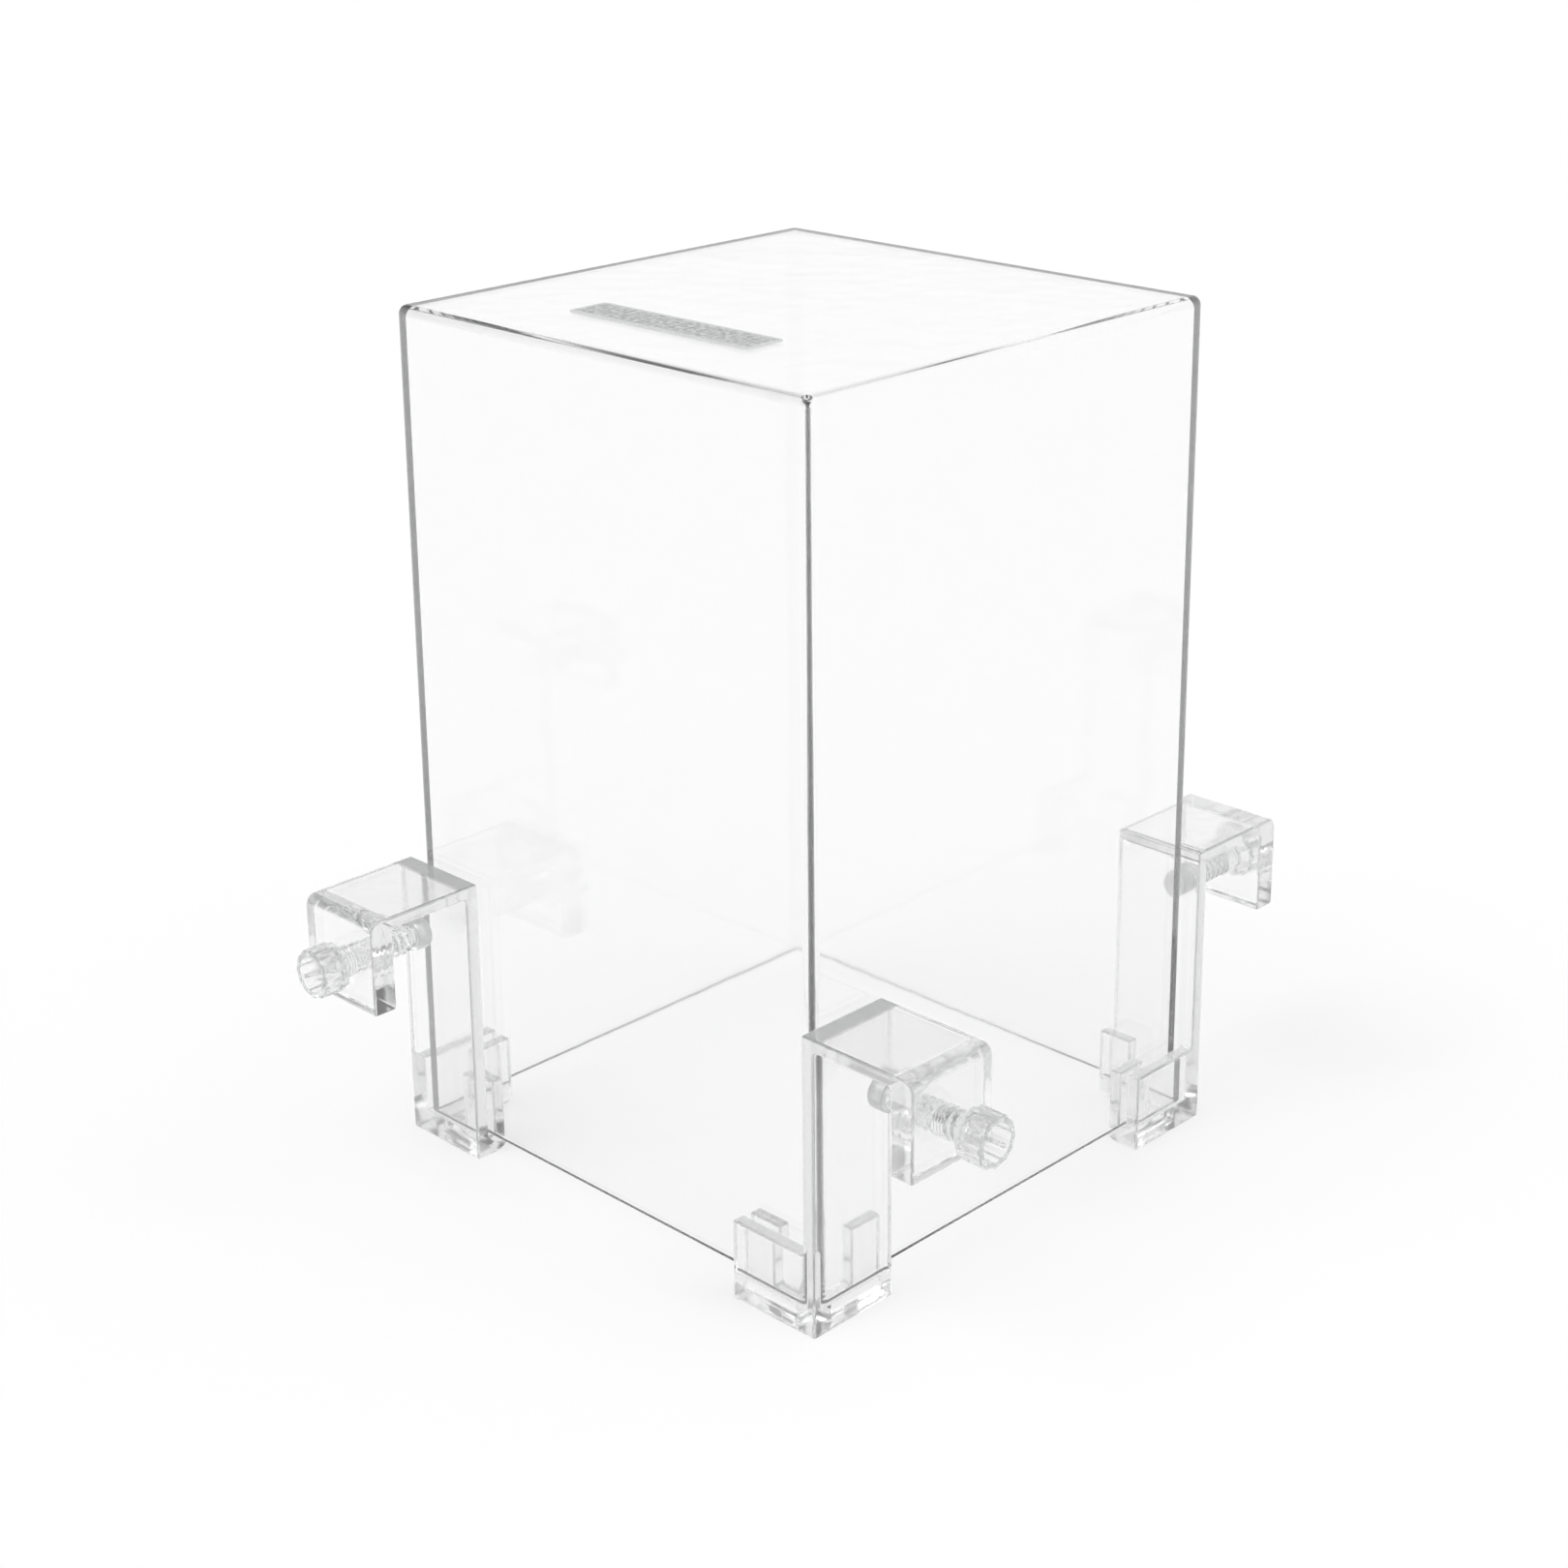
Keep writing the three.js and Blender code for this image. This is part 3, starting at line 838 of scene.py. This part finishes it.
def clip_body(name, clip, screw):
    """One clip in the frame of its tank corner, before it is turned to its place."""
    outward = Vector((1, 0, 0))
    sideways = Vector((0, -1, 0))
    outer, leg, reach, top = -CLIP_LOW.y, -CLIP_LOW.x, CLIP_HIGH.x, CLIP_HIGH.z
    inner = -(bpy.context.scene.tower_tank.wall + clip.gap + clip.tab)
    under = top - clip.plate
    lip_inner = reach - clip.lip
    lip_end = top - clip.lip_height
    steps = clip.arc_steps
    hooked = rounded([
        (outer, 0, 0),
        (outer, under, clip.hook_fillet),
        (lip_inner, under, clip.hook_fillet),
        (lip_inner, lip_end, 0),
        (reach, lip_end, 0),
        (reach, top, clip.hook_round),
        (clip.gap, top, 0),
        (clip.gap, clip.foot, 0),
        (inner, clip.foot, 0),
        (inner, 0, clip.foot_round),
    ], steps)
    channel = rounded([
        (outer, 0, 0),
        (outer, clip.wall_height, 0),
        (clip.gap, clip.wall_height, 0),
        (clip.gap, clip.foot, 0),
        (inner, clip.foot, 0),
        (inner, 0, clip.foot_round),
    ], steps)
    tab = rounded([
        (clip.tab + inner, clip.foot_round, 0),
        (clip.tab + inner, clip.tab_height, 0),
        (inner, clip.tab_height, 0),
        (inner, clip.foot_round, 0),
    ], steps)
    tab_start = leg - clip.tab_length
    body = prism(name, hooked, outward, -leg, outer)
    combine(body, prism("channel", channel, sideways, -outer, leg), "UNION")
    combine(body, prism("tab", tab, outward, -leg, -tab_start), "UNION")
    combine(body, prism("tab", tab, sideways, tab_start, leg), "UNION")
    bm = bmesh.new()
    bm.from_mesh(body.data)
    bmesh.ops.remove_doubles(bm, verts=bm.verts, dist=WELD)
    bmesh.ops.dissolve_limit(bm, angle_limit=FLAT_ANGLE, verts=bm.verts, edges=bm.edges)
    bm.to_mesh(body.data)
    bm.free()
    bevel = body.modifiers.new("Broken edges", "BEVEL")
    bevel.width = clip.edge
    bevel.segments = clip.edge_steps
    bevel.limit_method = "ANGLE"
    bevel.angle_limit = SHARP_ANGLE
    bevel.use_clamp_overlap = True
    bevel.miter_outer = "MITER_ARC"
    bake_modifiers(body)
    combine(body, tap_cutter(clip, screw), "DIFFERENCE")
    return body


class TOWER_OT_corner_clips(bpy.types.Operator):
    """Makes the three corner clips with their hooks and tapped holes"""

    bl_idname = "tower.corner_clips"
    bl_label = "Corner Clips"

    def execute(self, context):
        scene = context.scene
        material = styrene_clip()
        first = clip_body("clip", scene.tower_clip, scene.tower_screw)
        for corner in CORNER_TURNS:
            clip = new_object(f"{corner}_clip_clear", first.data.copy())
            clip.data.transform(corner_place(corner))
            finish_surface(clip, material, SHARP_ANGLE)
            ride_in_place(clip, "root", f"{corner}_clip")
        bpy.data.objects.remove(first)
        return {"FINISHED"}


# The screws and their pads

def screw_profile(sizes):
    """The thumb screw's profile from the collar in the pad to the bottom of the knob's cup."""
    knob_end = SCREW_HIGH.x - PAD_LOW.x
    knob_start = knob_end - sizes.knob_length
    collar_start = sizes.pad_face + sizes.play
    collar_end = collar_start + sizes.collar_length
    shaft_start = PAD_HIGH.x - PAD_LOW.x + sizes.play
    thread_start = shaft_start + sizes.run_in
    thread_end = knob_start - sizes.clearance
    small = sizes.play / 2
    tip = rounded([
        (collar_start, 0, 0),
        (collar_start, sizes.collar, small),
        (collar_end, sizes.collar, small),
        (collar_end, sizes.neck, 0),
        (shaft_start, sizes.neck, 0),
        (shaft_start, sizes.shaft, small),
        (thread_end, sizes.shaft, 0),
    ], sizes.tip_arc_steps)[:-1]
    first_row = tip[-1].x + small
    thread_first = thread_start - sizes.pitch / 2
    shaft = thread_rows(first_row, thread_end, sizes.shaft, sizes, thread_first, thread_end)
    cup_start = knob_end - sizes.cup_depth
    knob = rounded([
        (knob_start, sizes.shaft, 0),
        (knob_start, sizes.knob, sizes.knob_round),
        (knob_end, sizes.knob, sizes.knob_round),
        (knob_end, sizes.cup, small),
        (cup_start, sizes.cup, small),
        (cup_start, 0, 0),
    ], sizes.knob_arc_steps)
    edge = sizes.knob - sizes.knob_round
    barrel = [(p.x, p.y, 0.0, min(1.0, max(0.0, (p.y - edge) / sizes.knob_round))) for p in knob]
    return [*plain_rows(tip), *shaft, *barrel], thread_start


def web_plate(sizes):
    """The web across the knob's cup."""
    knob_end = SCREW_HIGH.x - PAD_LOW.x
    sunk = sizes.knob_round
    low = Vector((knob_end - sizes.cup_depth - sunk, -sizes.cup - sunk / 2, -sizes.web / 2))
    high = Vector((knob_end - sizes.web_recess, sizes.cup + sunk / 2, sizes.web / 2))
    bm = bmesh.new()
    bmesh.ops.create_cube(bm, size=1)
    bmesh.ops.scale(bm, vec=high - low, verts=bm.verts)
    bmesh.ops.translate(bm, vec=(low + high) / 2, verts=bm.verts)
    mouth = [edge for edge in bm.edges if all(vert.co.x > low.x + sunk for vert in edge.verts)]
    bmesh.ops.bevel(
        bm, geom=mouth, offset=sizes.web / 4, segments=sizes.web_edge_steps, affect="EDGES"
    )
    bmesh.ops.rotate(bm, matrix=Matrix.Rotation(sizes.web_turn, 3, "X"), verts=bm.verts)
    return new_object("web", mesh_from(bm, "web"))


def screw_place(corner, pitch):
    """Where a screw lies on its axis, turned by as much as it is further in than the front's."""
    axis = screw_axis(corner)
    turns_in = (screw_axis("front").x - axis.x) / pitch
    turned = Matrix.Rotation(-2 * math.pi * turns_in, 4, "X")
    return corner_place(corner) @ Matrix.Translation(axis) @ turned


class TOWER_OT_thumb_screws(bpy.types.Operator):
    """Makes the three thumb screws with their threads and fluted knobs"""

    bl_idname = "tower.thumb_screws"
    bl_label = "Thumb Screws"

    def execute(self, context):
        sizes = context.scene.tower_screw
        material = styrene_screw()
        profile, thread_start = screw_profile(sizes)
        first = turned_piece("screw", profile, sizes, material, thread_start)
        combine(first, web_plate(sizes), "UNION")
        for corner in CORNER_TURNS:
            screw = new_object(f"{corner}_thumb_screw_clear", first.data.copy())
            screw.data.transform(screw_place(corner, sizes.pitch))
            finish_surface(screw, material, SHARP_ANGLE)
            ride_in_place(screw, f"{corner}_screw", f"{corner}_thumb_screw")
        bpy.data.objects.remove(first)
        return {"FINISHED"}


class TOWER_OT_clamp_pads(bpy.types.Operator):
    """Makes the three pads that press on the glass"""

    bl_idname = "tower.clamp_pads"
    bl_label = "Clamp Pads"

    def execute(self, context):
        sizes = context.scene.tower_screw
        material = polythene_pad()
        end = PAD_HIGH.x - PAD_LOW.x
        radius = (PAD_HIGH.y - PAD_LOW.y) / 2
        collar_end = sizes.pad_face + sizes.play + sizes.collar_length
        chamber_end = collar_end + sizes.play
        small = sizes.play / 3
        profile = plain_rows(rounded([
            (0, 0, 0),
            (0, radius, sizes.pad_round),
            (end, radius, small),
            (end, sizes.neck + sizes.play, small),
            (chamber_end, sizes.neck + sizes.play, 0),
            (chamber_end, sizes.collar + sizes.play, 0),
            (sizes.pad_face, sizes.collar + sizes.play, small),
            (sizes.pad_face, 0, 0),
        ], sizes.pad_arc_steps))
        for corner in CORNER_TURNS:
            name = f"{corner}_clamp_pad_clear"
            pad = turned_piece(name, profile, sizes, material, 0.0, steps=sizes.pad_steps)
            pad.data.transform(corner_place(corner) @ Matrix.Translation(screw_axis(corner)))
            finish_surface(pad, material, SHARP_ANGLE)
            ride_in_place(pad, f"{corner}_pad", f"{corner}_clamp_pad")
        return {"FINISHED"}


# The studio

def set_world(studio):
    """A studio that is white all round and greyer overhead, most so to one side. The camera sees
    it white."""
    world = bpy.data.worlds.new("studio")
    bpy.context.scene.world = world
    world.use_nodes = True
    tree = world.node_tree
    tree.nodes.clear()
    place = add_node(tree, "ShaderNodeTexCoord")
    height = add_node(tree, "ShaderNodeVectorMath", {
        0: place.outputs["Generated"],
        1: Vector(studio.sky_lean).normalized(),
    }, operation="DOT_PRODUCT")
    fade = add_node(tree, "ShaderNodeMapRange", {
        "Value": height.outputs["Value"],
        "From Min": studio.sky_start,
        "From Max": studio.sky_end,
        "To Min": 1.0,
        "To Max": studio.sky,
    }, interpolation_type="SMOOTHSTEP")
    path = add_node(tree, "ShaderNodeLightPath")
    strength = add_node(tree, "ShaderNodeMath", {
        0: path.outputs["Is Camera Ray"],
        1: fade.outputs["Result"],
    }, operation="MAXIMUM")
    light = add_node(tree, "ShaderNodeBackground", {
        "Color": (1, 1, 1, 1),
        "Strength": strength.outputs["Value"],
    })
    add_node(tree, "ShaderNodeOutputWorld", {"Surface": light.outputs["Background"]})


def toward(azimuth, elevation):
    """The direction in which something lies that is turned and raised like this, seen from the
    object. At no turn it lies in front, at -Y."""
    level = math.cos(elevation)
    return Vector((math.sin(azimuth) * level, -math.cos(azimuth) * level, math.sin(elevation)))


def add_sun(name, strength, azimuth, elevation, spread):
    """A very large soft lamp far away, so that the floor is lit evenly."""
    lamp = bpy.data.lights.new(name, "SUN")
    lamp.energy = strength
    lamp.angle = spread
    sun = bpy.data.objects.new(name, lamp)
    bpy.context.scene.collection.objects.link(sun)
    sun.rotation_euler = toward(azimuth, elevation).to_track_quat("Z", "Y").to_euler()


def add_floor(studio):
    """The floor, just below the clips' feet."""
    bm = bmesh.new()
    half = studio.floor_side / 2
    square = ((-half, -half), (half, -half), (half, half), (-half, half))
    bm.faces.new([bm.verts.new((x, y, -studio.floor_drop)) for x, y in square])
    floor = new_object("studio_floor", mesh_from(bm, "studio_floor"))
    floor.data.materials.append(painted_floor())


def add_camera(studio):
    """The camera, at the photograph's viewing angle."""
    right = Vector((math.cos(studio.azimuth), math.sin(studio.azimuth), 0))
    back = toward(studio.azimuth, studio.elevation)
    up = back.cross(right)
    roll_cos, roll_sin = math.cos(studio.roll), math.sin(studio.roll)
    across = right * roll_cos + up * roll_sin
    upright = up * roll_cos - right * roll_sin
    data = bpy.data.cameras.new("camera")
    data.lens = studio.lens
    data.shift_y = -studio.shift
    data.clip_start = NEAREST
    data.clip_end = FARTHEST
    camera = bpy.data.objects.new("camera", data)
    bpy.context.scene.collection.objects.link(camera)
    turned = Matrix((across, upright, back)).transposed().to_4x4()
    camera.matrix_world = Matrix.Translation(studio.camera_place) @ turned
    bpy.context.scene.camera = camera


class TOWER_OT_stage(bpy.types.Operator):
    """Makes the floor, the light and the camera"""

    bl_idname = "tower.stage"
    bl_label = "Studio"

    def execute(self, context):
        studio = context.scene.tower_studio
        context.scene.view_settings.view_transform = "Standard"
        paths = context.scene.cycles
        paths.max_bounces = studio.bounces
        paths.glossy_bounces = studio.bounces
        paths.transmission_bounces = studio.bounces
        set_world(studio)
        add_sun("key_lamp", studio.key_light, studio.key_azimuth, studio.key_elevation,
                studio.key_spread)
        add_sun("fill_lamp", studio.fill_light, studio.fill_azimuth, studio.fill_elevation,
                studio.fill_spread)
        add_floor(studio)
        add_camera(studio)
        return {"FINISHED"}


# The add-on

class TOWER_PT_sidebar(bpy.types.Panel):
    """The tower aquarium's sizes and the buttons that build it"""

    bl_idname = "TOWER_PT_sidebar"
    bl_label = "Tower Aquarium"
    bl_space_type = "VIEW_3D"
    bl_region_type = "UI"
    bl_category = "Tower"

    def draw(self, context):
        for operator in OPERATORS:
            self.layout.operator(operator.bl_idname)
        for name in SETTINGS:
            group = getattr(context.scene, name)
            box = self.layout.box()
            for field in group.bl_rna.properties.keys():
                if field not in ("rna_type", "name"):
                    box.prop(group, field)


SETTINGS = {
    "tower_tank": TankSizes,
    "tower_clip": ClipSizes,
    "tower_screw": ScrewSizes,
    "tower_finish": FinishSettings,
    "tower_studio": StudioSettings,
}
OPERATORS = (
    TOWER_OT_stage,
    TOWER_OT_tank_shell,
    TOWER_OT_frosted_strip,
    TOWER_OT_corner_clips,
    TOWER_OT_thumb_screws,
    TOWER_OT_clamp_pads,
)
CLASSES = (*SETTINGS.values(), *OPERATORS, TOWER_PT_sidebar)


def register():
    for item in CLASSES:
        bpy.utils.register_class(item)
    for name, group in SETTINGS.items():
        setattr(bpy.types.Scene, name, PointerProperty(type=group))


def unregister():
    for name in SETTINGS:
        delattr(bpy.types.Scene, name)
    for item in reversed(CLASSES):
        bpy.utils.unregister_class(item)


def main():
    register()
    bpy.ops.tower.stage()
    bpy.ops.tower.tank_shell()
    bpy.ops.tower.frosted_strip()
    bpy.ops.tower.corner_clips()
    bpy.ops.tower.thumb_screws()
    bpy.ops.tower.clamp_pads()


if __name__ == "__main__":
    main()
